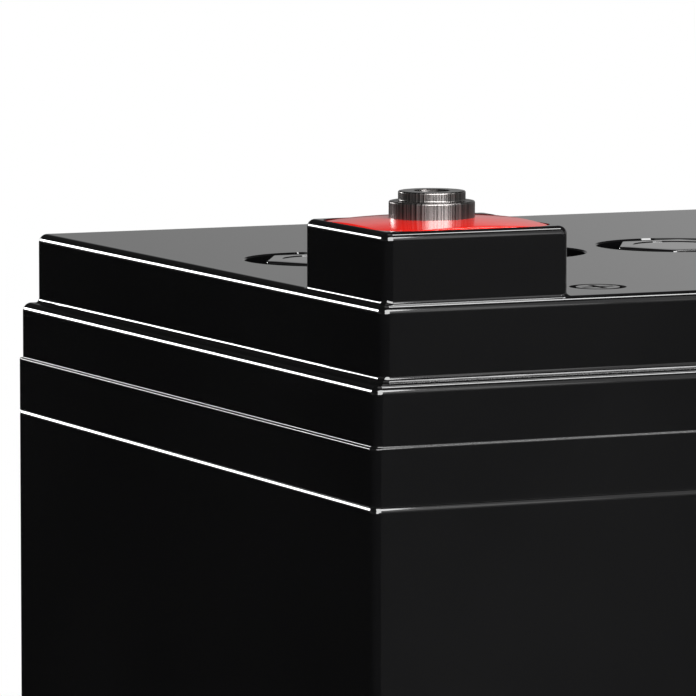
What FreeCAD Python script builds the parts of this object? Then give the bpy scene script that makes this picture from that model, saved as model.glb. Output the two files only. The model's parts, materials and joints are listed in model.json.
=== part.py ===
import FreeCAD, Part
import os
from FreeCAD import Vector

# Sealed lead acid battery, six cells in a row. Millimetres.
# Origin at the centre of the base, +X along the long side, the terminals at the front (-Y), +Z up.

# Overall block
length = 195.0
width = 131.0
corner_radius = 1.2

# Container
container_height = 127.4
wall = 2.8
floor_thickness = 3.0
partition_thickness = 1.8
cells = 6
rim_rounding = 1.3
rim_overlap = 0.55
foot_rounding = 0.8

# Cover: collar, shoulder and lid, heights above the joint with the container
collar_height = 8.15
shoulder_height = 16.75
lid_height = 27.5
shoulder_inset = 0.4
lid_inset = 1.95
collar_foot_rounding = 0.12
collar_rounding = 0.2
collar_cove = 0.18
shoulder_rounding = 1.3
lid_cove = 0.85
lid_rounding = 1.3
roof_thickness = 3.0
cover_wall = 2.6

# Terminal bosses at the two front corners
boss_length = 28.2
boss_width = 26.6
boss_height = 9.7
boss_inset = 0.8
boss_corner = 1.3
boss_rounding = 1.1
boss_cove = 0.65
boss_rim = 1.0
pocket_corner = 4.2

# Sealing resin
resin_crown = 0.8
resin_edge = 0.15
resin_rounding = 0.4

# Terminal inserts
terminal_from_end = 16.8
terminal_from_front = 16.9
terminal_radius = 6.0
terminal_ring_height = 2.2
terminal_top_radius = 4.7
terminal_top_height = 1.4
terminal_depth = 8.0
terminal_groove = 0.5
terminal_edge = 0.25
thread_radius = 2.1
thread_depth = 8.0
thread_mouth = 0.4

# Lead posts and their seals
post_radius = 4.8
post_play = 0.2
seal_radius = 7.0
seal_height = 2.0

# Vent wells, one for each cell, in a row behind the centre line
vent_pitch = 29.1
vent_y = 3.85
well_radius = 12.2
well_chamfer = 0.25
well_depth = 4.0
well_wall = 1.9
throat_radius = 6.0
throat_wall = 1.5
throat_depth = 13.0
neck_radius = 3.2
neck_bore = 1.8
neck_height = 6.0

# Vent plugs, gaskets and safety valves
plug_corner_radius = 9.8
plug_corner_rounding = 0.9
plug_rise = 0.05
plug_chamfer = 0.3
plug_disc_radius = 6.7
plug_disc_depth = 0.1
shank_play = 0.2
shank_wall = 1.0
shank_length = 10.0
gasket_radius = 8.0
gasket_height = 1.0
valve_wall = 1.2
valve_roof = 1.4
valve_play = 0.05
valve_grip = 4.8
valve_headroom = 0.3

# Polarity marks, sunk in the lid beside the bosses
mark_from_end = 41.2
mark_from_front = 13.9
mark_radius = 4.05
mark_line = 0.95
mark_arm = 2.4
mark_depth = 0.6

# Plates, glass mat and straps
positive_plates = 4
negative_plates = 5
positive_thickness = 2.9
negative_thickness = 1.9
side_play = 0.3
fold_play = 0.4
plate_foot = 2.0
mat_overhang = 2.0
lug_width = 12.0
lug_height = 5.0
strap_thickness = 5.0
strap_width = 15.0
strap_end_play = 1.0
riser_thickness = 4.0
riser_over_weld = 1.3
weld_radius = 4.5
weld_below_rim = 7.8
weld_over_strap_foot = 2.0

# Places worked out from the sizes above
cover_inset = shoulder_inset + lid_inset
lid_top = container_height + lid_height
roof_underside = lid_top - roof_thickness
boss_top = lid_top + boss_height
resin_top = boss_top + resin_crown
terminal_base = resin_top - terminal_depth
terminal_x = length / 2 - terminal_from_end
terminal_y = -(width / 2 - terminal_from_front)
cell_width = (length - 2 * wall - (cells - 1) * partition_thickness) / cells
cell_pitch = cell_width + partition_thickness
cell_length = width - 2 * wall
boss_x = length / 2 - cover_inset - boss_inset - boss_length / 2
boss_y = -(width / 2 - cover_inset - boss_inset - boss_width / 2)
well_floor = lid_top - well_depth
throat_floor = well_floor - throat_depth
neck_top = throat_floor + neck_height
mats = positive_plates + negative_plates - 1
plates_thickness = positive_plates * positive_thickness + negative_plates * negative_thickness
mat_thickness = (cell_width - 2 * side_play - plates_thickness) / mats
plate_half_width = cell_length / 2 - mat_thickness - fold_play
weld_height = container_height - weld_below_rim
riser_top = weld_height + weld_radius + riser_over_weld
strap_bottom = weld_height - weld_radius - weld_over_strap_foot
plate_top = strap_bottom - lug_height
mat_top = plate_top + mat_overhang

TOLERANCE = 1e-4


def block(x0, x1, y0, y1, z0, z1):
    """A box between two corners."""
    return Part.makeBox(x1 - x0, y1 - y0, z1 - z0, Vector(x0, y0, z0))


def disc(x, y, z0, z1, radius):
    """An upright cylinder."""
    return Part.makeCylinder(radius, z1 - z0, Vector(x, y, z0))


def rounded_block(x0, x1, y0, y1, z0, z1, radius):
    """A box with rounded upright corners."""
    solid = block(x0, x1, y0, y1, z0, z1)
    upright = [e for e in solid.Edges if e.BoundBox.ZLength > (z1 - z0) / 2]
    return solid.makeFillet(radius, upright)


def centred_block(inset, z0, z1, radius):
    """A rounded box centred on the battery, inset from its outline."""
    x = length / 2 - inset
    y = width / 2 - inset
    return rounded_block(-x, x, -y, y, z0, z1, radius)


def flat_edges(solid, z, half_x, half_y):
    """The edges that lie flat at height z within a centred rectangle."""
    found = []
    for edge in solid.Edges:
        box = edge.BoundBox
        level = abs(box.ZMin - z) < TOLERANCE and abs(box.ZMax - z) < TOLERANCE
        inside_x = box.XMax < half_x + TOLERANCE and box.XMin > -half_x - TOLERANCE
        inside_y = box.YMax < half_y + TOLERANCE and box.YMin > -half_y - TOLERANCE
        if level and inside_x and inside_y:
            found.append(edge)
    return found


def rim_edges(solid, z):
    """All the edges that lie flat at height z."""
    return flat_edges(solid, z, length, width)


def poles():
    """The two poles: name, and the side of the battery that it lies at."""
    return (("positive", -1), ("negative", 1))


def boss_block(side):
    """One terminal boss, its top edge rounded."""
    half_x = boss_length / 2
    half_y = boss_width / 2
    x = side * boss_x
    solid = rounded_block(x - half_x, x + half_x, boss_y - half_y, boss_y + half_y,
                          roof_underside, boss_top, boss_corner)
    return solid.makeFillet(boss_rounding, rim_edges(solid, boss_top))


def boss_pocket(side, z0, z1):
    """The room for the resin in a boss."""
    half_x = boss_length / 2 - boss_rim
    half_y = boss_width / 2 - boss_rim
    x = side * boss_x
    return rounded_block(x - half_x, x + half_x, boss_y - half_y, boss_y + half_y,
                         z0, z1, pocket_corner)


def boss_foot_edges(body, side):
    """The edges at which a boss stands on the lid and on its rounded edge."""
    found = []
    for edge in body.Edges:
        box = edge.BoundBox
        low = box.ZMin > lid_top - lid_rounding and box.ZMax < lid_top + TOLERANCE
        x_reach = max(abs(box.XMin - side * boss_x), abs(box.XMax - side * boss_x))
        y_reach = max(abs(box.YMin - boss_y), abs(box.YMax - boss_y))
        if low and x_reach < boss_length / 2 + TOLERANCE and y_reach < boss_width / 2 + TOLERANCE:
            found.append(edge)
    return found


def cover_outside():
    """The stepped outside of the cover with its bosses."""
    joint = container_height
    shoulder_top = joint + shoulder_height
    collar_top = joint + collar_height
    collar = centred_block(0, joint, collar_top, corner_radius)
    collar = collar.makeFillet(collar_rounding, rim_edges(collar, collar_top))
    collar = collar.makeFillet(collar_foot_rounding, rim_edges(collar, joint))
    shoulder = centred_block(shoulder_inset, joint, shoulder_top, corner_radius)
    shoulder = shoulder.makeFillet(shoulder_rounding, rim_edges(shoulder, shoulder_top))
    lid = centred_block(cover_inset, joint, lid_top, corner_radius)
    lid = lid.makeFillet(lid_rounding, rim_edges(lid, lid_top))
    body = collar.fuse([shoulder, lid]).removeSplitter()
    half_x = length / 2 - shoulder_inset
    half_y = width / 2 - shoulder_inset
    body = body.makeFillet(collar_cove, flat_edges(body, collar_top, half_x, half_y))
    half_x = length / 2 - cover_inset
    half_y = width / 2 - cover_inset
    body = body.makeFillet(lid_cove, flat_edges(body, shoulder_top, half_x, half_y))
    for name, side in poles():
        body = body.fuse(boss_block(side)).removeSplitter()
        body = body.makeFillet(boss_cove, boss_foot_edges(body, side))
    return body


def cell_centres():
    """The x of each cell's centre."""
    return [(i - (cells - 1) / 2) * cell_pitch for i in range(cells)]


def partition_centres():
    """The x of each partition's centre."""
    return [(i - (cells - 2) / 2) * cell_pitch for i in range(cells - 1)]


def vent_centres():
    """The x of each vent's centre."""
    return [(i - (cells - 1) / 2) * vent_pitch for i in range(cells)]


def cover_inside():
    """The hollow under the lid: wide in the collar, narrower in the lid."""
    joint = container_height
    step = joint + shoulder_height - roof_thickness
    low_inset = wall
    high_inset = cover_inset + cover_wall
    low = block(-length / 2 + low_inset, length / 2 - low_inset,
                -width / 2 + low_inset, width / 2 - low_inset, joint, step)
    high = block(-length / 2 + high_inset, length / 2 - high_inset,
                 -width / 2 + high_inset, width / 2 - high_inset, joint, roof_underside)
    return low.fuse(high).removeSplitter()


def cover_ribs(inside):
    """The ribs across the hollow that close the partitions."""
    ribs = []
    for x in partition_centres():
        half = partition_thickness / 2
        slice_of_cover = block(x - half, x + half, -width / 2, width / 2, container_height, lid_top)
        ribs.append(inside.common(slice_of_cover))
    return ribs


def vent_barrel(x):
    """The outside of one vent well and its throat, below the roof."""
    well = disc(x, vent_y, well_floor - well_wall, lid_top - roof_thickness / 2, well_radius + well_wall)
    throat = disc(x, vent_y, throat_floor - well_wall, well_floor, throat_radius + throat_wall)
    return well.fuse(throat)


def vent_hollow(x):
    """The room inside one vent well and its throat, round the neck."""
    well = disc(x, vent_y, well_floor, lid_top + 1, well_radius)
    chamfer = Part.makeCone(well_radius, well_radius + 2 * well_chamfer, 2 * well_chamfer,
                            Vector(x, vent_y, lid_top - well_chamfer))
    well = well.fuse(chamfer)
    throat = disc(x, vent_y, throat_floor, well_floor, throat_radius)
    neck = disc(x, vent_y, throat_floor, neck_top, neck_radius)
    bore = disc(x, vent_y, throat_floor - well_wall - 1, neck_top, neck_bore)
    return well.fuse(throat.cut(neck)).fuse(bore)


def polarity_mark(x, positive):
    """A ring with a plus or a minus in it, sunk in the lid."""
    y = -width / 2 + mark_from_front
    z0 = lid_top - mark_depth
    z1 = lid_top + 1
    half = mark_line / 2
    ring = disc(x, y, z0, z1, mark_radius).cut(disc(x, y, z0, z1, mark_radius - mark_line))
    bar = block(x - mark_arm, x + mark_arm, y - half, y + half, z0, z1)
    tools = [ring, bar]
    if positive:
        upper = block(x - half, x + half, y + half, y + mark_arm, z0, z1)
        lower = block(x - half, x + half, y - mark_arm, y - half, z0, z1)
        tools += [upper, lower]
    return tools


def cover():
    """The cover: shell, ribs, vent wells, resin pockets and polarity marks."""
    inside = cover_inside()
    vents = [vent_barrel(x) for x in vent_centres()]
    body = cover_outside().cut(inside).fuse(cover_ribs(inside) + vents)
    cuts = [vent_hollow(x) for x in vent_centres()]
    for name, side in poles():
        x = side * terminal_x
        cuts.append(boss_pocket(side, lid_top, boss_top + 1))
        cuts.append(disc(x, terminal_y, roof_underside - 1, lid_top, post_radius + post_play))
        cuts.append(disc(x, terminal_y, lid_top - seal_height, lid_top, seal_radius))
    mark_x = length / 2 - mark_from_end
    cuts += polarity_mark(-mark_x, True)
    cuts += polarity_mark(mark_x, False)
    return body.cut(cuts).removeSplitter()


def container():
    """The box with its partitions, each holed for its weld."""
    full_height = container_height + rim_overlap
    outer = centred_block(0, 0, full_height, corner_radius)
    outer = outer.makeFillet(rim_rounding, rim_edges(outer, full_height))
    outer = outer.makeFillet(foot_rounding, rim_edges(outer, 0))
    outer = outer.common(block(-length, length, -width, width, 0, container_height))
    rooms = []
    for x in cell_centres():
        half = cell_width / 2
        rooms.append(block(x - half, x + half, -cell_length / 2, cell_length / 2,
                           floor_thickness, container_height + 1))
    holes = []
    for index, x in enumerate(partition_centres()):
        holes.append(weld_disc(x, weld_side(index)))
    return outer.cut(rooms).cut(holes)


def weld_side(index):
    """The welds lie at the back and the front in turn, starting at the back."""
    return 1 if index % 2 == 0 else -1


def weld_disc(x, side):
    """One lead slug through a partition."""
    start = Vector(x - partition_thickness / 2, -side * terminal_y, weld_height)
    return Part.makeCylinder(weld_radius, partition_thickness, start, Vector(1, 0, 0))


def terminal(side):
    """A turned insert: shank with a grip groove, two rings and a threaded hole."""
    ring_top = resin_top + terminal_ring_height
    top = ring_top + terminal_top_height
    r = terminal_radius
    e = terminal_edge
    groove_low = terminal_base + terminal_depth / 3
    groove_high = terminal_base + 2 * terminal_depth / 3
    hole_floor = top - thread_depth
    mouth = thread_radius + thread_mouth
    profile = [
        (0, terminal_base), (r, terminal_base), (r, groove_low), (r - terminal_groove, groove_low),
        (r - terminal_groove, groove_high), (r, groove_high), (r, ring_top - e), (r - e, ring_top),
        (terminal_top_radius, ring_top), (terminal_top_radius, top - e), (terminal_top_radius - e, top),
        (mouth, top), (thread_radius, top - thread_mouth), (thread_radius, hole_floor), (0, hole_floor),
    ]
    points = [Vector(px, 0, pz) for px, pz in profile]
    face = Part.Face(Part.makePolygon(points + points[:1]))
    solid = face.revolve(Vector(0, 0, 0), Vector(0, 0, 1), 360)
    solid.translate(Vector(side * terminal_x, terminal_y, 0))
    return solid


def resin(side):
    """The resin that fills a boss round its post and terminal, crowned on top."""
    solid = boss_pocket(side, lid_top, resin_top + 1)
    half = boss_length / 2 - boss_rim
    drop = resin_crown - resin_edge
    crown_radius = (half ** 2 + drop ** 2) / (2 * drop)
    crown = Part.makeSphere(crown_radius, Vector(side * boss_x, boss_y, resin_top - crown_radius))
    solid = solid.common(crown)
    top = max(solid.Faces, key=lambda face: face.CenterOfMass.z)
    solid = solid.makeFillet(resin_rounding, top.Edges)
    solid = solid.cut(disc(side * terminal_x, terminal_y, lid_top, terminal_base, post_radius))
    return solid.cut(terminal_envelope(side))


def terminal_envelope(side):
    """The terminal's outside where the resin grips it, with no hole."""
    bore = disc(side * terminal_x, terminal_y, terminal_base + 1, resin_top + 1,
                terminal_radius - 2 * terminal_groove)
    return terminal(side).fuse(bore)


def post(side):
    """A lead post from the end cell's strap to the terminal."""
    return disc(side * terminal_x, terminal_y, strap_bottom + strap_thickness, terminal_base, post_radius)


def post_seal(side):
    """The rubber ring round a post, in the roof under the resin."""
    x = side * terminal_x
    outer = disc(x, terminal_y, lid_top - seal_height, lid_top, seal_radius)
    return outer.cut(disc(x, terminal_y, lid_top - seal_height, lid_top, post_radius))


def vent_plug(x):
    """A hexagonal plug with a shallow round dish, its shank hollow round the valve."""
    head_base = well_floor + gasket_height
    head_top = lid_top + plug_rise
    corners = []
    for i in range(6):
        spoke = Vector(plug_corner_radius, 0, 0)
        turned = FreeCAD.Rotation(Vector(0, 0, 1), 60 * i).multVec(spoke)
        corners.append(turned + Vector(x, vent_y, head_base))
    face = Part.Face(Part.makePolygon(corners + corners[:1]))
    head = face.extrude(Vector(0, 0, head_top - head_base))
    upright = [e for e in head.Edges if e.BoundBox.ZLength > TOLERANCE]
    head = head.makeFillet(plug_corner_rounding, upright)
    head = head.makeChamfer(plug_chamfer, rim_edges(head, head_top))
    head = head.cut(disc(x, vent_y, head_top - plug_disc_depth, head_top + 1, plug_disc_radius))
    shank_radius = throat_radius - shank_play
    shank_base = well_floor - shank_length
    stop = neck_top + valve_roof + valve_headroom
    shank = disc(x, vent_y, shank_base, head_base, shank_radius)
    hollow = disc(x, vent_y, shank_base, stop, shank_radius - shank_wall)
    return head.fuse(shank.cut(hollow)).removeSplitter()


def vent_gasket(x):
    """The flat rubber ring between a plug's head and its well."""
    outer = disc(x, vent_y, well_floor, well_floor + gasket_height, gasket_radius)
    return outer.cut(disc(x, vent_y, well_floor, well_floor + gasket_height, throat_radius - shank_play))


def safety_valve(x):
    """The rubber cap on a vent neck."""
    inner = neck_radius + valve_play
    outer = disc(x, vent_y, neck_top - valve_grip, neck_top + valve_roof, inner + valve_wall)
    return outer.cut(disc(x, vent_y, neck_top - valve_grip, neck_top, inner))


def cell_layers(x):
    """The layers of one cell from left to right: kind, x from and x to."""
    layers = []
    at = x - cell_width / 2 + side_play
    for i in range(positive_plates + negative_plates):
        kind = "negative" if i % 2 == 0 else "positive"
        thickness = negative_thickness if i % 2 == 0 else positive_thickness
        layers.append((kind, at, at + thickness))
        at += thickness
        if i < mats:
            layers.append(("mat", at, at + mat_thickness))
            at += mat_thickness
    return layers


def plate_group(x, kind, side, riser_side):
    """The plates of one kind in a cell, cast on to their strap."""
    strap_y = -side * terminal_y
    half = strap_width / 2
    strap_x0 = x - cell_width / 2 + strap_end_play
    strap_x1 = x + cell_width / 2 - strap_end_play
    strap_top = strap_bottom + strap_thickness
    pieces = []
    if riser_side != 0:
        wall_x = x + riser_side * cell_width / 2
        inner_x = wall_x - riser_side * riser_thickness
        strap_x0 = min(strap_x0, wall_x)
        strap_x1 = max(strap_x1, wall_x)
        pieces.append(block(min(wall_x, inner_x), max(wall_x, inner_x), strap_y - half, strap_y + half,
                            strap_bottom, riser_top))
    strap = block(strap_x0, strap_x1, strap_y - half, strap_y + half, strap_bottom, strap_top)
    for layer, x0, x1 in cell_layers(x):
        if layer == kind:
            pieces.append(block(x0, x1, -plate_half_width, plate_half_width,
                                floor_thickness + plate_foot, plate_top))
            pieces.append(block(x0, x1, strap_y - lug_width / 2, strap_y + lug_width / 2,
                                plate_top, strap_bottom))
    return strap.fuse(pieces).removeSplitter()


def separator_pack(x):
    """The glass mat of one cell, folded round the plates' edges to the back and front in turn."""
    layers = cell_layers(x)
    end = cell_length / 2 - fold_play
    pieces = []
    for index, (kind, x0, x1) in enumerate(layers):
        if kind == "mat":
            pieces.append(block(x0, x1, -end, end, floor_thickness, mat_top))
    for index in range(2, len(layers) - 2, 2):
        x0 = layers[index - 1][1]
        x1 = layers[index + 1][2]
        if (index // 2) % 2 == 1:
            pieces.append(block(x0, x1, plate_half_width, end, floor_thickness, mat_top))
        else:
            pieces.append(block(x0, x1, -end, -plate_half_width, floor_thickness, mat_top))
    return pieces[0].fuse(pieces[1:]).removeSplitter()


def cell_pieces():
    """The plates and mat of every cell, and the welds between the cells."""
    pieces = {}
    for index, x in enumerate(cell_centres()):
        number = index + 1
        positive_side = -1 if index % 2 == 0 else 1
        positive_riser = 0 if index == 0 else -1
        negative_riser = 0 if index == cells - 1 else 1
        pieces["positive_group_%d" % number] = plate_group(x, "positive", positive_side, positive_riser)
        pieces["negative_group_%d" % number] = plate_group(x, "negative", -positive_side, negative_riser)
        pieces["separator_pack_%d" % number] = separator_pack(x)
    for index, x in enumerate(partition_centres()):
        pieces["intercell_weld_%d" % (index + 1)] = weld_disc(x, weld_side(index))
    return pieces


def vent_pieces():
    """The plug, gasket and valve of every cell."""
    pieces = {}
    for index, x in enumerate(vent_centres()):
        number = index + 1
        pieces["vent_plug_%d" % number] = vent_plug(x)
        pieces["vent_gasket_%d" % number] = vent_gasket(x)
        pieces["safety_valve_%d" % number] = safety_valve(x)
    return pieces


def terminal_pieces():
    """The terminal, resin, post and seal of each pole."""
    pieces = {}
    for name, side in poles():
        pieces[name + "_terminal"] = terminal(side)
        pieces[name + "_resin"] = resin(side)
        pieces[name + "_post"] = post(side)
        pieces[name + "_post_seal"] = post_seal(side)
    return pieces


def main():
    os.makedirs("parts", exist_ok=True)
    pieces = {"container": container(), "cover": cover()}
    pieces.update(terminal_pieces())
    pieces.update(vent_pieces())
    pieces.update(cell_pieces())
    for name, shape in pieces.items():
        shape.exportStep("parts/%s.step" % name)
        print(name, shape.isValid(), len(shape.Solids), round(shape.Volume, 1))


main()
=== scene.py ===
import json
import math

import bmesh
import bpy
from mathutils import Matrix, Quaternion, Vector


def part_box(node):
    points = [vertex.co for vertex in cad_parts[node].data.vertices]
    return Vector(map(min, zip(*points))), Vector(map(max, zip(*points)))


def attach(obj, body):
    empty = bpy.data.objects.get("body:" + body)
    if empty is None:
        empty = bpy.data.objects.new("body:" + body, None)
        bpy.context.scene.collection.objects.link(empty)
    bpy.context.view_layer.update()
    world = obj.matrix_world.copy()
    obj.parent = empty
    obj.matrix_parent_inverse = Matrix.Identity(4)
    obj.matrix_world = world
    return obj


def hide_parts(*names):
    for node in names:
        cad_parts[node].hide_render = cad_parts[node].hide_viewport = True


# A sealed lead acid battery: black moulded case and cover, hexagonal vent plugs in round wells,
# two turned steel terminals cast into red and black resin. Metres.

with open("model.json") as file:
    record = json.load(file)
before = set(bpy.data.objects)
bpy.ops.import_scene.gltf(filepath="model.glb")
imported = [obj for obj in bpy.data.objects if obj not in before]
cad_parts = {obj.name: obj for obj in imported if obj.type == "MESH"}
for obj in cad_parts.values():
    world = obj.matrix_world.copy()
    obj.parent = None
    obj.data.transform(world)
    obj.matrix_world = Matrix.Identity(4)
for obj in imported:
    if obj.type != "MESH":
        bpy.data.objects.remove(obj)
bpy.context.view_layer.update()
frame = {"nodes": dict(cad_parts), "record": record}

MM = 0.001
BODY = "root"
WHITE = (1.0, 1.0, 1.0, 1.0)

# Camera, fitted to the photograph's edges and vanishing points
CAMERA_PLACE = Vector((-0.437473, -0.795455, 0.233036))
CAMERA_FORWARD = Vector((0.416092, 0.903426, -0.103386))
CAMERA_UP = Vector((0.042947, 0.094045, 0.994641))
LENS_MM = 309.34
SENSOR_MM = 36.0

# The bosses' height over the lid
BOSS_HEIGHT = 9.7 * MM

# Terminals, measured from the resin they stand in
TERMINAL_LOWER_RADIUS = 6.0 * MM
TERMINAL_UPPER_RADIUS = 4.7 * MM
TERMINAL_LOWER_HEIGHT = 2.2 * MM
TERMINAL_UPPER_HEIGHT = 1.4 * MM
TERMINAL_EDGE = 0.22 * MM
TERMINAL_EDGE_HOLD = 0.03 * MM
TERMINAL_GROOVE = 0.5 * MM
TERMINAL_SEGMENTS = 128
TERMINAL_EDGE_STEPS = 4
THREAD_CREST_RADIUS = 2.1 * MM
THREAD_PITCH = 0.8 * MM
THREAD_DEPTH = 0.4 * MM
THREAD_LENGTH = 8.0 * MM
THREAD_MOUTH = 0.45 * MM
THREAD_ROWS = 90

# Half the width of a thread's groove, as a share of its pitch
THREAD_GROOVE_SHARE = 0.42
PLUG_GROOVE_SHARE = 0.3

# Vent plugs
PLUG_DISH_RADIUS = 6.7 * MM
PLUG_DISH_DEPTH = 0.1 * MM
PLUG_DISH_LIP = 0.03 * MM
PLUG_DISH_SLOPE = 0.04 * MM
PLUG_CORNER_RADIUS = 9.8 * MM
PLUG_CORNER_ROUNDING = 0.9 * MM
PLUG_CORNER_STEPS = 8
PLUG_SIDE_STEPS = 8
PLUG_EDGE = 0.3 * MM
PLUG_EDGE_STEPS = 5
PLUG_HEAD_HEIGHT = 3.05 * MM
PLUG_SHANK_RADIUS = 5.8 * MM
PLUG_SHANK_WALL = 1.0 * MM
PLUG_SHANK_ROWS = 40
PLUG_THREAD_PITCH = 2.0 * MM
PLUG_THREAD_DEPTH = 0.45 * MM
PLUG_THREAD_FADE_ROWS = 4
PLUG_VALVE_GAP = 0.3 * MM

# Edges that turn by more degrees than this are sharp
SHARP_ANGLE = 35

# Points closer than this are one point
MERGE_DISTANCE = 1e-7

# Polarity marks in the lid, and how softly their matt finish starts
MARK_X = 56.3 * MM
MARK_Y = -51.6 * MM
MARK_REACH = 4.3 * MM
MARK_DEPTH = 0.6 * MM
MARK_ROUGHNESS = 0.6
MARK_SPECULAR = 0.05
MARK_SIDE_BLUR = 0.01 * MM
MARK_TOP_BLUR = 0.02 * MM
MARK_FLOOR_BLUR = 0.05 * MM

# The middle parts of noise that are spread over a finish's whole range
WIDE_SPAN = (0.3, 0.7)
CLEAR_SPAN = (0.35, 0.65)
STREAK_SPAN = (0.38, 0.62)

# Finishes: pairs of colours, and of roughness, that noise blends
PLAIN_SPECULAR = 0.5
CASE_COLOURS = ((0.0013, 0.0013, 0.0014), (0.0019, 0.0019, 0.0020))
CASE_GLOSS = (0.02, 0.04)
LID_GLOSS = (0.015, 0.035)
CASE_GRAIN = 0.0001 * MM
PLUG_COLOURS = ((0.0018, 0.0018, 0.0019), (0.0026, 0.0026, 0.0027))
PLUG_GLOSS = (0.03, 0.06)
PLUG_GRAIN = 0.0002 * MM
PLUG_COAT = 0.65
RED_RESIN = ((0.55, 0.008, 0.004), (0.61, 0.011, 0.006))
BLACK_RESIN = ((0.006, 0.006, 0.007), (0.010, 0.010, 0.011))
RESIN_GLOSS = (0.04, 0.09)
RESIN_RIPPLE = 0.012 * MM
STEEL_COLOURS = ((0.065, 0.059, 0.057), (0.26, 0.247, 0.241))
STEEL_GLOSS = (0.20, 0.38)
STEEL_RING_SHARE = 0.06
STREAK_RELIEF = 0.006 * MM
STREAKS_FROM = -0.02 * MM
STREAKS_FULL = -0.1 * MM
LEAD_COLOURS = ((0.16, 0.17, 0.18), (0.36, 0.37, 0.39))
LEAD_GLOSS = (0.45, 0.7)
LEAD_RELIEF = 0.06 * MM
FELT_COLOURS = ((0.66, 0.66, 0.63), (0.86, 0.86, 0.84))
FELT_GLOSS = (0.8, 0.95)
FELT_RELIEF = 0.1 * MM
RUBBER_COLOURS = ((0.012, 0.012, 0.012), (0.03, 0.03, 0.03))
RUBBER_GLOSS = (0.55, 0.75)
RUBBER_RELIEF = 0.03 * MM
FLOOR_COLOURS = ((0.78, 0.78, 0.78), (0.82, 0.82, 0.82))
FLOOR_ROUGHNESS = 0.9

# Lamps aim at this point, from these distances
LAMP_TARGET = Vector((0.0, 0.0, 0.14))
LAMP_DISTANCE = 1.6
BACK_LAMP_DISTANCE = 2.0

# World, by the parts of a direction: X to the right, Y to the back, Z up.
# A pale band that glossy surfaces see at the horizon, brighter on the right
HORIZON_BLUR = 0.02
BAND_TOP_FROM = 0.18
BAND_TOP_TO = 0.30
BAND_ABOVE = 0.12
BAND_RIGHT_FROM = 0.36
BAND_RIGHT_TO = 0.50
BAND_LEFT = 0.275
BAND_RIGHT = 0.42

# What they see below the horizon: dark, with a paler right front and paler straight down
GROUND_DARK = 0.01
GROUND_LIT = 0.09
GROUND_LIT_FROM = 0.40
GROUND_LIT_BLUR = 0.01
GROUND_FRONT_FROM = -0.10
GROUND_STEEP = 0.35
GROUND_STEEP_FROM = -0.19
GROUND_STEEP_TO = -0.34

# A pale ceiling that only surfaces seen from above mirror
CEILING = 0.8
CEILING_FROM = 0.955
CEILING_TO = 0.965

# Even light on surfaces that aren't glossy
FILL_LIGHT = 0.30

# Floor: plain near the battery, fading to white between these distances
FLOOR_RADIUS = 3.0
FLOOR_SEGMENTS = 64
FLOOR_DROP = 0.5 * MM
FLOOR_FADE_FROM = 0.22
FLOOR_FADE_TO = 0.42


# Node helpers

def new_material(name):
    """An empty node material with its shader and output."""
    material = bpy.data.materials.new(name)
    material.use_nodes = True
    tree = material.node_tree
    tree.nodes.clear()
    output = tree.nodes.new("ShaderNodeOutputMaterial")
    shader = tree.nodes.new("ShaderNodeBsdfPrincipled")
    tree.links.new(shader.outputs["BSDF"], output.inputs["Surface"])
    return material, tree, shader


def object_point(tree, scale=(1.0, 1.0, 1.0), place=(0.0, 0.0, 0.0)):
    """Object coordinates, moved so that place is the origin and then scaled."""
    coordinates = tree.nodes.new("ShaderNodeTexCoord")
    mapping = tree.nodes.new("ShaderNodeMapping")
    mapping.vector_type = "POINT"
    mapping.inputs["Scale"].default_value = scale
    mapping.inputs["Location"].default_value = [-p * s for p, s in zip(place, scale)]
    tree.links.new(coordinates.outputs["Object"], mapping.inputs["Vector"])
    return mapping.outputs["Vector"]


def noise(tree, point, scale, detail=3.0, roughness=0.55):
    """Soft three-dimensional noise between 0 and 1."""
    node = tree.nodes.new("ShaderNodeTexNoise")
    node.inputs["Scale"].default_value = scale
    node.inputs["Detail"].default_value = detail
    node.inputs["Roughness"].default_value = roughness
    tree.links.new(point, node.inputs["Vector"])
    return node.outputs["Fac"]


def ramp(tree, value, low, high, out_low, out_high):
    """Value spread from low..high to out_low..out_high, kept inside."""
    node = tree.nodes.new("ShaderNodeMapRange")
    node.inputs["From Min"].default_value = low
    node.inputs["From Max"].default_value = high
    node.inputs["To Min"].default_value = out_low
    node.inputs["To Max"].default_value = out_high
    tree.links.new(value, node.inputs["Value"])
    return node.outputs["Result"]


def combine(tree, kind, first, second):
    """One math operation on two values, the second a socket or a number."""
    node = tree.nodes.new("ShaderNodeMath")
    node.operation = kind
    tree.links.new(first, node.inputs[0])
    if isinstance(second, (int, float)):
        node.inputs[1].default_value = second
    else:
        tree.links.new(second, node.inputs[1])
    return node.outputs["Value"]


def separate(tree, vector):
    """The X, Y and Z outputs of a vector."""
    node = tree.nodes.new("ShaderNodeSeparateXYZ")
    tree.links.new(vector, node.inputs["Vector"])
    return node.outputs


def vector_math(tree, kind, vector):
    """One vector operation on one vector."""
    node = tree.nodes.new("ShaderNodeVectorMath")
    node.operation = kind
    tree.links.new(vector, node.inputs[0])
    return node.outputs


def blend_colours(tree, amount, first, second):
    """A mix of two colours by amount."""
    node = tree.nodes.new("ShaderNodeMix")
    node.data_type = "RGBA"
    node.inputs["A"].default_value = (*first, 1.0)
    node.inputs["B"].default_value = (*second, 1.0)
    tree.links.new(amount, node.inputs["Factor"])
    return node.outputs["Result"]


def set_colour(tree, shader, amount, colours):
    """The shader's colour, mixed from a pair by amount."""
    tree.links.new(blend_colours(tree, amount, *colours), shader.inputs["Base Color"])


def set_roughness(tree, shader, value, gloss, span=WIDE_SPAN):
    """The shader's roughness: a pair of values, which a span of the given value blends."""
    tree.links.new(ramp(tree, value, *span, *gloss), shader.inputs["Roughness"])


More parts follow.
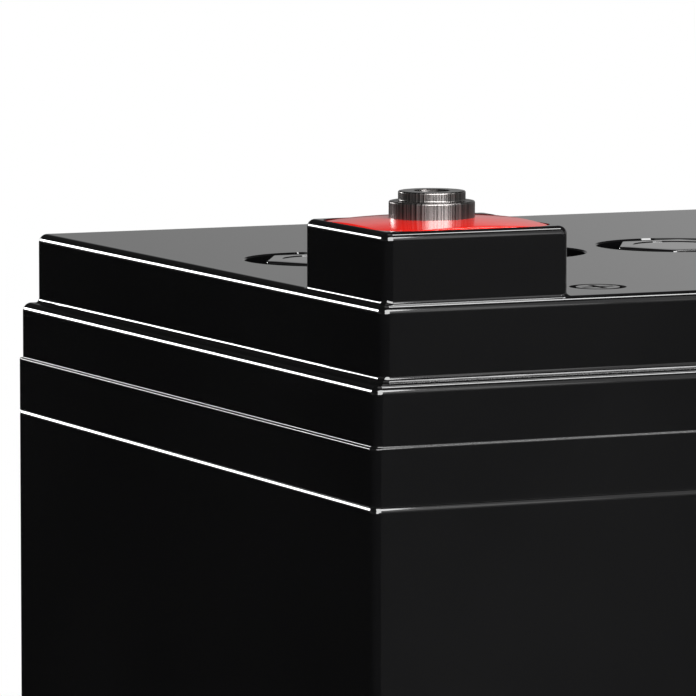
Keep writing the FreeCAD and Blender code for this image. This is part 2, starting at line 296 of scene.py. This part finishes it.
def add_bump(tree, shader, height, distance):
    """Relief of the given depth in metres on the shader's normal."""
    node = tree.nodes.new("ShaderNodeBump")
    node.inputs["Strength"].default_value = 1.0
    node.inputs["Distance"].default_value = distance
    tree.links.new(height, node.inputs["Height"])
    tree.links.new(node.outputs["Normal"], shader.inputs["Normal"])


# Materials

def moulded_plastic(name, colours, gloss, grain, sunk_from=None, coat=0.0):
    """Black injection moulding: faint flow clouds, a fine grain and polished tool marks.

    In the polarity marks, sunk below the height sunk_from, the surface is matt."""
    material, tree, shader = new_material(name)
    clouds = noise(tree, object_point(tree), scale=22.0, detail=4.0)
    set_colour(tree, shader, ramp(tree, clouds, *CLEAR_SPAN, 0.0, 1.0), colours)
    patches = noise(tree, object_point(tree, scale=(1.0, 1.0, 2.5)), scale=60.0, detail=5.0)
    roughness = ramp(tree, patches, *WIDE_SPAN, *gloss)
    if sunk_from is not None:
        sunk = sunk_mask(tree, sunk_from)
        matt = combine(tree, "MULTIPLY", sunk, MARK_ROUGHNESS)
        roughness = combine(tree, "MAXIMUM", roughness, matt)
        specular = ramp(tree, sunk, 0.0, 1.0, PLAIN_SPECULAR, MARK_SPECULAR)
        tree.links.new(specular, shader.inputs["Specular IOR Level"])
    tree.links.new(roughness, shader.inputs["Roughness"])
    fine = noise(tree, object_point(tree), scale=9000.0, detail=2.0)
    add_bump(tree, shader, fine, grain)
    shader.inputs["IOR"].default_value = 1.55
    shader.inputs["Coat Weight"].default_value = coat
    return material


def sunk_mask(tree, level):
    """1 in the two polarity marks, which lie just below the lid's top at level, else 0."""
    point = separate(tree, object_point(tree))
    away = tree.nodes.new("ShaderNodeMath")
    away.operation = "ABSOLUTE"
    tree.links.new(point["X"], away.inputs[0])
    top = level - MARK_TOP_BLUR
    floor = level - MARK_DEPTH - MARK_FLOOR_BLUR
    masks = [ramp(tree, point["Z"], top - MARK_TOP_BLUR, top, 1.0, 0.0),
             ramp(tree, point["Z"], floor - MARK_FLOOR_BLUR, floor, 0.0, 1.0)]
    for socket, middle in ((away.outputs["Value"], MARK_X), (point["Y"], MARK_Y)):
        start = middle - MARK_REACH
        end = middle + MARK_REACH
        masks.append(ramp(tree, socket, start, start + MARK_SIDE_BLUR, 0.0, 1.0))
        masks.append(ramp(tree, socket, end - MARK_SIDE_BLUR, end, 1.0, 0.0))
    product = masks[0]
    for mask in masks[1:]:
        product = combine(tree, "MULTIPLY", product, mask)
    return product


def cast_resin(name, colours):
    """Poured resin: deep colour, self-levelled gloss and a slow ripple."""
    material, tree, shader = new_material(name)
    depth = noise(tree, object_point(tree), scale=160.0)
    set_colour(tree, shader, ramp(tree, depth, *WIDE_SPAN, 0.0, 1.0), colours)
    smear = noise(tree, object_point(tree), scale=420.0)
    set_roughness(tree, shader, smear, RESIN_GLOSS)
    ripple = noise(tree, object_point(tree), scale=240.0, detail=1.0)
    add_bump(tree, shader, ripple, RESIN_RIPPLE)
    shader.inputs["IOR"].default_value = 1.52
    return material


def turned_steel(name, centre, top):
    """Turned metal: rings left by the tool, and fine upright streaks round the side."""
    material, tree, shader = new_material(name)
    point = separate(tree, object_point(tree, place=(centre.x, centre.y, top)))
    flat = tree.nodes.new("ShaderNodeCombineXYZ")
    tree.links.new(point["X"], flat.inputs["X"])
    tree.links.new(point["Y"], flat.inputs["Y"])
    spoke = vector_math(tree, "NORMALIZE", flat.outputs["Vector"])["Vector"]
    length = vector_math(tree, "LENGTH", flat.outputs["Vector"])["Value"]
    on_side = ramp(tree, point["Z"], STREAKS_FULL, STREAKS_FROM, 1.0, 0.0)
    around = noise(tree, spoke, scale=45.0, roughness=0.75)
    streaks = combine(tree, "MULTIPLY", around, on_side)
    ring_point = tree.nodes.new("ShaderNodeCombineXYZ")
    tree.links.new(length, ring_point.inputs["X"])
    tree.links.new(point["Z"], ring_point.inputs["Z"])
    rings = noise(tree, ring_point.outputs["Vector"], scale=2600.0, roughness=0.6)
    faint_rings = combine(tree, "MULTIPLY", rings, STEEL_RING_SHARE)
    add_bump(tree, shader, combine(tree, "ADD", streaks, faint_rings), STREAK_RELIEF)
    set_colour(tree, shader, ramp(tree, streaks, *CLEAR_SPAN, 0.0, 1.0), STEEL_COLOURS)
    set_roughness(tree, shader, streaks, STEEL_GLOSS, STREAK_SPAN)
    shader.inputs["Metallic"].default_value = 1.0
    return material


def dull_lead(name):
    """Cast lead: grey, matt, mottled by oxide."""
    material, tree, shader = new_material(name)
    mottle = noise(tree, object_point(tree), scale=300.0, detail=5.0)
    set_colour(tree, shader, mottle, LEAD_COLOURS)
    set_roughness(tree, shader, mottle, LEAD_GLOSS)
    cast_skin = noise(tree, object_point(tree), scale=1500.0, detail=4.0)
    add_bump(tree, shader, cast_skin, LEAD_RELIEF)
    shader.inputs["Metallic"].default_value = 0.85
    return material


def glass_felt(name):
    """White glass fibre felt: pressed fibres lying flat."""
    material, tree, shader = new_material(name)
    along = object_point(tree, scale=(1.0, 1.0, 0.12))
    fibres = noise(tree, along, scale=5200.0, detail=4.0, roughness=0.75)
    set_colour(tree, shader, fibres, FELT_COLOURS)
    set_roughness(tree, shader, fibres, FELT_GLOSS)
    add_bump(tree, shader, fibres, FELT_RELIEF)
    return material


def black_rubber(name):
    """Moulded rubber: matt, with a dusty bloom."""
    material, tree, shader = new_material(name)
    bloom = noise(tree, object_point(tree), scale=700.0, detail=4.0)
    set_colour(tree, shader, bloom, RUBBER_COLOURS)
    set_roughness(tree, shader, bloom, RUBBER_GLOSS)
    add_bump(tree, shader, bloom, RUBBER_RELIEF)
    return material


# Mesh helpers

def mesh_object(name, mesh_data):
    """A new object for a mesh, linked to the scene at the origin."""
    piece = bpy.data.objects.new(name, mesh_data)
    bpy.context.scene.collection.objects.link(piece)
    return piece


def polar(radius, angle, z=0.0):
    """The point at a radius and an angle round the Z axis."""
    return Vector((radius * math.cos(angle), radius * math.sin(angle), z))


def round_ring(radius, z, count):
    """Points round the Z axis."""
    turn = 2 * math.pi / count
    return [polar(radius, i * turn, z) for i in range(count)]


def quarter(radius, steps):
    """Steps of a quarter round from (0, 0) up to (radius, radius): run in, rise."""
    turns = [math.pi / 2 * k / steps for k in range(steps + 1)]
    return [(radius * (1 - math.cos(t)), radius * math.sin(t)) for t in turns]


def closed_mesh(name, rings):
    """A smooth closed mesh through rings of as many points each, capped at both ends."""
    bm = bmesh.new()
    loops = [[bm.verts.new(point) for point in ring] for ring in rings]
    for lower, upper in zip(loops, loops[1:]):
        count = len(lower)
        for i in range(count):
            j = (i + 1) % count
            bm.faces.new((lower[i], lower[j], upper[j], upper[i]))
    bm.faces.new(loops[0])
    bm.faces.new(reversed(loops[-1]))
    bmesh.ops.remove_doubles(bm, verts=bm.verts, dist=MERGE_DISTANCE)
    bmesh.ops.recalc_face_normals(bm, faces=bm.faces)
    for face in bm.faces:
        face.smooth = True
    mesh_data = bpy.data.meshes.new(name)
    bm.to_mesh(mesh_data)
    bm.free()
    return mesh_data


def keep_sharp(piece):
    """Marks the edges that turn by more than the sharp angle, so that flats stay flat."""
    piece.data.set_sharp_from_angle(angle=math.radians(SHARP_ANGLE))


# Terminals

def thread_wall(z_bottom, z_top, count, crest, depth, pitch):
    """Rings of a threaded wall from bottom to top, the groove fading out at both ends."""
    rings = []
    for row in range(THREAD_ROWS + 1):
        z = z_bottom + (z_top - z_bottom) * row / THREAD_ROWS
        fade = min(1.0, (z - z_bottom) / pitch, (z_top - z) / (pitch / 2))
        ring = []
        for i in range(count):
            turn = i / count
            phase = (z / pitch - turn) % 1.0
            groove = max(0.0, 1.0 - abs(phase - 0.5) / THREAD_GROOVE_SHARE)
            ring.append(polar(crest + depth * fade * groove, 2 * math.pi * turn, z))
        rings.append(ring)
    return rings


def terminal_mesh(name, base, foot):
    """One terminal insert about its own axis: shank, grip groove, two rings, threaded hole."""
    ring_top = base + TERMINAL_LOWER_HEIGHT
    top = ring_top + TERMINAL_UPPER_HEIGHT
    third = (base - foot) / 3
    edge = quarter(TERMINAL_EDGE, TERMINAL_EDGE_STEPS)
    outline = [(TERMINAL_LOWER_RADIUS, foot),
               (TERMINAL_LOWER_RADIUS, foot + third),
               (TERMINAL_LOWER_RADIUS - TERMINAL_GROOVE, foot + third),
               (TERMINAL_LOWER_RADIUS - TERMINAL_GROOVE, foot + 2 * third),
               (TERMINAL_LOWER_RADIUS, foot + 2 * third)]
    beside = TERMINAL_EDGE + TERMINAL_EDGE_HOLD
    for radius, level in ((TERMINAL_LOWER_RADIUS, ring_top), (TERMINAL_UPPER_RADIUS, top)):
        outline.append((radius, level - beside))
        for run, rise in edge:
            outline.append((radius - run, level - TERMINAL_EDGE + rise))
        outline.append((radius - beside, level))
        if radius == TERMINAL_LOWER_RADIUS:
            outline.append((TERMINAL_UPPER_RADIUS + beside, level))
            for run, rise in reversed(edge):
                outline.append((TERMINAL_UPPER_RADIUS + run, level + TERMINAL_EDGE - rise))
            outline.append((TERMINAL_UPPER_RADIUS, level + beside))
    outline.append((THREAD_CREST_RADIUS + THREAD_MOUTH, top))
    rings = [round_ring(radius, z, TERMINAL_SEGMENTS) for radius, z in outline]
    wall = thread_wall(top - THREAD_LENGTH, top - THREAD_MOUTH, TERMINAL_SEGMENTS,
                       THREAD_CREST_RADIUS, THREAD_DEPTH, THREAD_PITCH)
    rings += reversed(wall)
    return closed_mesh(name, rings)


def make_terminal(pole, material):
    """The detailed terminal of one pole in its solid's place."""
    node = pole + "_terminal"
    low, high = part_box(node)
    height = TERMINAL_LOWER_HEIGHT + TERMINAL_UPPER_HEIGHT
    data = terminal_mesh(node + "_turned", high.z - height, low.z)
    middle = (low + high) / 2
    data.transform(Matrix.Translation((middle.x, middle.y, 0)))
    piece = mesh_object(node + "_turned", data)
    piece.data.materials.append(material)
    keep_sharp(piece)
    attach(piece, BODY)
    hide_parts(node)


# Vent plugs

def hexagon_ring(corner_radius, rounding, z):
    """Points of a hexagon with rounded corners, its first corner on +X."""
    reach = rounding / math.cos(math.pi / 6)

    def corner_point(corner, step):
        spoke = corner * math.pi / 3
        angle = spoke - math.pi / 6 + math.pi / 3 * step / PLUG_CORNER_STEPS
        centre = polar(1.0, spoke) * (corner_radius - reach)
        return centre + polar(1.0, angle) * rounding + Vector((0, 0, z))

    ring = []
    for corner in range(6):
        ring += [corner_point(corner, step) for step in range(PLUG_CORNER_STEPS + 1)]
        start = ring[-1]
        end = corner_point(corner + 1, 0)
        ring += [start.lerp(end, step / PLUG_SIDE_STEPS) for step in range(1, PLUG_SIDE_STEPS)]
    return ring


def plug_mesh(name, top, foot, hollow_top):
    """One vent plug about its own axis: dished hexagonal head on a threaded, hollow shank."""
    head_foot = top - PLUG_HEAD_HEIGHT
    head = [hexagon_ring(PLUG_CORNER_RADIUS, PLUG_CORNER_ROUNDING, head_foot)]
    for run, rise in quarter(PLUG_EDGE, PLUG_EDGE_STEPS):
        head.append(hexagon_ring(PLUG_CORNER_RADIUS - run, PLUG_CORNER_ROUNDING - run / 2,
                                 top - PLUG_EDGE + rise))
    angles = [math.atan2(point.y, point.x) for point in head[0]]

    def circle(radius, z):
        return [polar(radius, angle, z) for angle in angles]

    dish_floor = top - PLUG_DISH_DEPTH
    dish = [circle(PLUG_DISH_RADIUS + PLUG_DISH_LIP, top),
            circle(PLUG_DISH_RADIUS, top - PLUG_DISH_LIP),
            circle(PLUG_DISH_RADIUS - PLUG_DISH_SLOPE, dish_floor),
            circle(PLUG_DISH_RADIUS / 2, dish_floor)]
    shank = []
    for row in range(PLUG_SHANK_ROWS + 1):
        z = foot + (head_foot - foot) * row / PLUG_SHANK_ROWS
        rows_left = PLUG_SHANK_ROWS - row
        fade = min(1.0, row / PLUG_THREAD_FADE_ROWS, rows_left / PLUG_THREAD_FADE_ROWS)
        ring = []
        for angle in angles:
            phase = (z / PLUG_THREAD_PITCH - angle / (2 * math.pi)) % 1.0
            groove = max(0.0, 1.0 - abs(phase - 0.5) / PLUG_GROOVE_SHARE)
            ring.append(polar(PLUG_SHANK_RADIUS - PLUG_THREAD_DEPTH * fade * groove, angle, z))
        shank.append(ring)
    inner = PLUG_SHANK_RADIUS - PLUG_SHANK_WALL
    hollow = [circle(inner, hollow_top), circle(inner, foot)]
    return closed_mesh(name, hollow + shank + head + dish)


def row_of_copies(name):
    """A node tree that repeats its input along a line and gives it a material."""
    tree = bpy.data.node_groups.new(name, "GeometryNodeTree")
    ports = tree.interface
    for port, kind in (("Geometry", "Geometry"), ("Count", "Int"), ("Pitch", "Float"),
                       ("Start", "Vector"), ("Finish", "Material")):
        ports.new_socket(port, in_out="INPUT", socket_type="NodeSocket" + kind)
    ports.new_socket("Geometry", in_out="OUTPUT", socket_type="NodeSocketGeometry")
    given = tree.nodes.new("NodeGroupInput")
    result = tree.nodes.new("NodeGroupOutput")
    step = tree.nodes.new("ShaderNodeCombineXYZ")
    line = tree.nodes.new("GeometryNodeMeshLine")
    copies = tree.nodes.new("GeometryNodeInstanceOnPoints")
    real = tree.nodes.new("GeometryNodeRealizeInstances")
    paint = tree.nodes.new("GeometryNodeSetMaterial")
    link = tree.links.new
    link(given.outputs["Pitch"], step.inputs["X"])
    link(given.outputs["Count"], line.inputs["Count"])
    link(given.outputs["Start"], line.inputs["Start Location"])
    link(step.outputs["Vector"], line.inputs["Offset"])
    link(line.outputs["Mesh"], copies.inputs["Points"])
    link(given.outputs["Geometry"], copies.inputs["Instance"])
    link(copies.outputs["Instances"], real.inputs["Geometry"])
    link(real.outputs["Geometry"], paint.inputs["Geometry"])
    link(given.outputs["Finish"], paint.inputs["Material"])
    link(paint.outputs["Geometry"], result.inputs["Geometry"])
    return tree


def set_inputs(modifier, tree, values):
    """Sets a node modifier's named inputs by their sockets' identifiers."""
    for item in tree.interface.items_tree:
        if item.in_out == "INPUT" and item.name in values:
            modifier[item.identifier] = values[item.name]


def make_plugs(material):
    """The row of vent plugs, in the place of their solids."""
    nodes = sorted(name for name in frame["nodes"] if name.startswith("vent_plug_"))
    boxes = [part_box(name) for name in nodes]
    low, high = boxes[0]
    middle = (low + high) / 2
    last = (boxes[-1][0] + boxes[-1][1]) / 2
    pitch = (last.x - middle.x) / (len(nodes) - 1)
    valve_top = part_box("safety_valve_1")[1].z
    data = plug_mesh("vent_plugs", high.z, low.z, valve_top + PLUG_VALVE_GAP)
    piece = mesh_object("vent_plugs", data)
    tree = row_of_copies("plug_row")
    modifier = piece.modifiers.new("row", "NODES")
    modifier.node_group = tree
    set_inputs(modifier, tree, {"Count": len(nodes), "Pitch": pitch, "Finish": material,
                                "Start": (middle.x, middle.y, 0.0)})
    graph = bpy.context.evaluated_depsgraph_get()
    piece.data = bpy.data.meshes.new_from_object(piece.evaluated_get(graph))
    piece.modifiers.clear()
    keep_sharp(piece)
    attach(piece, BODY)
    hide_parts(*nodes)


# The battery's pieces and their finishes

def dress(node, material):
    """Gives a CAD node its finish."""
    data = frame["nodes"][node].data
    data.materials.clear()
    data.materials.append(material)


def dress_all():
    """Every node and piece with its material."""
    lid_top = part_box("cover")[1].z - BOSS_HEIGHT
    case = moulded_plastic("case_plastic", CASE_COLOURS, CASE_GLOSS, CASE_GRAIN)
    lid = moulded_plastic("lid_plastic", CASE_COLOURS, LID_GLOSS, CASE_GRAIN, sunk_from=lid_top)
    plug = moulded_plastic("plug_plastic", PLUG_COLOURS, PLUG_GLOSS, PLUG_GRAIN, coat=PLUG_COAT)
    lead = dull_lead("cast_lead")
    felt = glass_felt("glass_felt")
    rubber = black_rubber("black_rubber")
    red = cast_resin("red_resin", RED_RESIN)
    black = cast_resin("black_resin", BLACK_RESIN)
    by_slot = {"container_plastic": case, "cover_plastic": lid, "plug_plastic": plug, "lead": lead,
               "glass_mat": felt, "rubber": rubber, "red_resin": red, "black_resin": black}
    for part in frame["record"]["subparts"]:
        finish = by_slot.get(part["material_slot"])
        if finish is not None:
            dress(part["node"], finish)
    for pole in ("positive", "negative"):
        low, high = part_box(pole + "_terminal")
        steel = turned_steel(pole + "_terminal_steel", (low + high) / 2, high.z)
        dress(pole + "_terminal", steel)
        make_terminal(pole, steel)
    make_plugs(plug)


# Stage, light and camera

def softbox(name, azimuth, elevation, width_deg, height_deg, radiance,
            distance=LAMP_DISTANCE, roll=0.0):
    """A lamp panel seen from the battery at that direction, size and brightness.

    Azimuth 0 is the front (-Y) and 90 the right (+X), in degrees, and roll turns it on its axis."""
    a, e = math.radians(azimuth), math.radians(elevation)
    direction = Vector((math.sin(a) * math.cos(e), -math.cos(a) * math.cos(e), math.sin(e)))
    width = 2 * distance * math.tan(math.radians(width_deg / 2))
    height = 2 * distance * math.tan(math.radians(height_deg / 2))
    data = bpy.data.lights.new(name, "AREA")
    data.shape = "RECTANGLE"
    data.size = width
    data.size_y = height
    data.energy = radiance * math.pi * width * height
    lamp = bpy.data.objects.new(name, data)
    lamp.location = LAMP_TARGET + direction * distance
    lamp.rotation_mode = "QUATERNION"
    facing = direction.to_track_quat("Z", "Y")
    lamp.rotation_quaternion = facing @ Quaternion((0, 0, 1), math.radians(roll))
    lamp.visible_camera = False
    bpy.context.scene.collection.objects.link(lamp)


def make_lamps():
    """A broad panel in front with a dim side, a thin strip overhead, one behind on the left."""
    softbox("front_panel", azimuth=-9.43, elevation=25.75, width_deg=60.14, height_deg=38.5,
            radiance=13.5)
    softbox("front_panel_edge", azimuth=22.7, elevation=26, width_deg=3.8, height_deg=38,
            radiance=1.4)
    softbox("front_panel_side", azimuth=41.5, elevation=26, width_deg=33.8, height_deg=38,
            radiance=0.7)
    softbox("overhead_strip", azimuth=67, elevation=62.8, width_deg=10.5, height_deg=16,
            radiance=14.0, roll=25.6)
    softbox("back_left_panel", azimuth=-155, elevation=9.5, width_deg=18, height_deg=8.5,
            radiance=18.0, distance=BACK_LAMP_DISTANCE)


def mirrored_light(tree):
    """How bright the world is where a glossy surface mirrors it, by direction."""
    coordinates = tree.nodes.new("ShaderNodeTexCoord")
    way = separate(tree, coordinates.outputs["Generated"])
    above = ramp(tree, way["Z"], -HORIZON_BLUR, HORIZON_BLUR, 0.0, 1.0)
    below_top = ramp(tree, way["Z"], BAND_TOP_FROM, BAND_TOP_TO, 1.0, BAND_ABOVE)
    side = ramp(tree, way["X"], BAND_RIGHT_FROM, BAND_RIGHT_TO, BAND_LEFT, BAND_RIGHT)
    band = combine(tree, "MULTIPLY", combine(tree, "MULTIPLY", above, below_top), side)
    front = ramp(tree, way["Y"], GROUND_FRONT_FROM, 0.0, 1.0, 0.0)
    right = ramp(tree, way["X"], GROUND_LIT_FROM - GROUND_LIT_BLUR,
                 GROUND_LIT_FROM + GROUND_LIT_BLUR, 0.0, 1.0)
    right_front = combine(tree, "MULTIPLY", front, right)
    below = ramp(tree, way["Z"], -HORIZON_BLUR, HORIZON_BLUR, 1.0, 0.0)
    shade = ramp(tree, right_front, 0.0, 1.0, GROUND_DARK, GROUND_LIT)
    ground = combine(tree, "MULTIPLY", below, shade)
    steep = ramp(tree, way["Z"], GROUND_STEEP_TO, GROUND_STEEP_FROM, GROUND_STEEP, 0.0)
    ceiling = ramp(tree, way["Z"], CEILING_FROM, CEILING_TO, 0.0, CEILING)
    low_part = combine(tree, "ADD", band, ground)
    return combine(tree, "ADD", low_part, combine(tree, "ADD", steep, ceiling))


def make_world():
    """White to the camera, the mirrored light to glossy surfaces, even fill light to the rest."""
    world = bpy.data.worlds.new("studio")
    bpy.context.scene.world = world
    world.use_nodes = True
    tree = world.node_tree
    tree.nodes.clear()
    link = tree.links.new
    output = tree.nodes.new("ShaderNodeOutputWorld")
    path = tree.nodes.new("ShaderNodeLightPath")
    seen = mirrored_light(tree)

    def background(strength):
        node = tree.nodes.new("ShaderNodeBackground")
        node.inputs["Color"].default_value = WHITE
        if isinstance(strength, float):
            node.inputs["Strength"].default_value = strength
        else:
            link(strength, node.inputs["Strength"])
        return node.outputs["Background"]

    def choose(amount, first, second):
        node = tree.nodes.new("ShaderNodeMixShader")
        link(amount, node.inputs["Fac"])
        link(first, node.inputs[1])
        link(second, node.inputs[2])
        return node.outputs["Shader"]

    mirrored = choose(path.outputs["Is Glossy Ray"], background(FILL_LIGHT), background(seen))
    shown = choose(path.outputs["Is Camera Ray"], mirrored, background(1.0))
    link(shown, output.inputs["Surface"])


def make_floor():
    """A pale floor that keeps the battery's shadow and fades into the white background."""
    bm = bmesh.new()
    bmesh.ops.create_circle(bm, cap_ends=True, segments=FLOOR_SEGMENTS, radius=FLOOR_RADIUS)
    data = bpy.data.meshes.new("floor")
    bm.to_mesh(data)
    bm.free()
    floor = mesh_object("floor", data)
    floor.location.z = -FLOOR_DROP
    material, tree, shader = new_material("floor_pale")
    output = next(node for node in tree.nodes if node.type == "OUTPUT_MATERIAL")
    grain = noise(tree, object_point(tree), scale=40.0)
    set_colour(tree, shader, grain, FLOOR_COLOURS)
    shader.inputs["Roughness"].default_value = FLOOR_ROUGHNESS
    distance = vector_math(tree, "LENGTH", object_point(tree))["Value"]
    far = ramp(tree, distance, FLOOR_FADE_FROM, FLOOR_FADE_TO, 0.0, 1.0)
    path = tree.nodes.new("ShaderNodeLightPath")
    white = tree.nodes.new("ShaderNodeEmission")
    blend = tree.nodes.new("ShaderNodeMixShader")
    faded = combine(tree, "MULTIPLY", far, path.outputs["Is Camera Ray"])
    tree.links.new(faded, blend.inputs["Fac"])
    tree.links.new(shader.outputs["BSDF"], blend.inputs[1])
    tree.links.new(white.outputs["Emission"], blend.inputs[2])
    tree.links.new(blend.outputs["Shader"], output.inputs["Surface"])
    floor.data.materials.append(material)
    floor.visible_glossy = False


def make_camera():
    """The photograph's camera."""
    data = bpy.data.cameras.new("camera")
    data.lens = LENS_MM
    data.sensor_width = SENSOR_MM
    data.sensor_fit = "AUTO"
    camera = bpy.data.objects.new("camera", data)
    back = -CAMERA_FORWARD.normalized()
    up = CAMERA_UP.normalized()
    right = up.cross(back)
    turn = Matrix((right, up, back)).transposed().to_4x4()
    camera.matrix_world = Matrix.Translation(CAMERA_PLACE) @ turn
    data.clip_start = 0.01
    data.clip_end = 20.0
    bpy.context.scene.collection.objects.link(camera)
    bpy.context.scene.camera = camera


bpy.context.scene.view_settings.view_transform = "Standard"
make_camera()
make_world()
make_lamps()
make_floor()
dress_all()
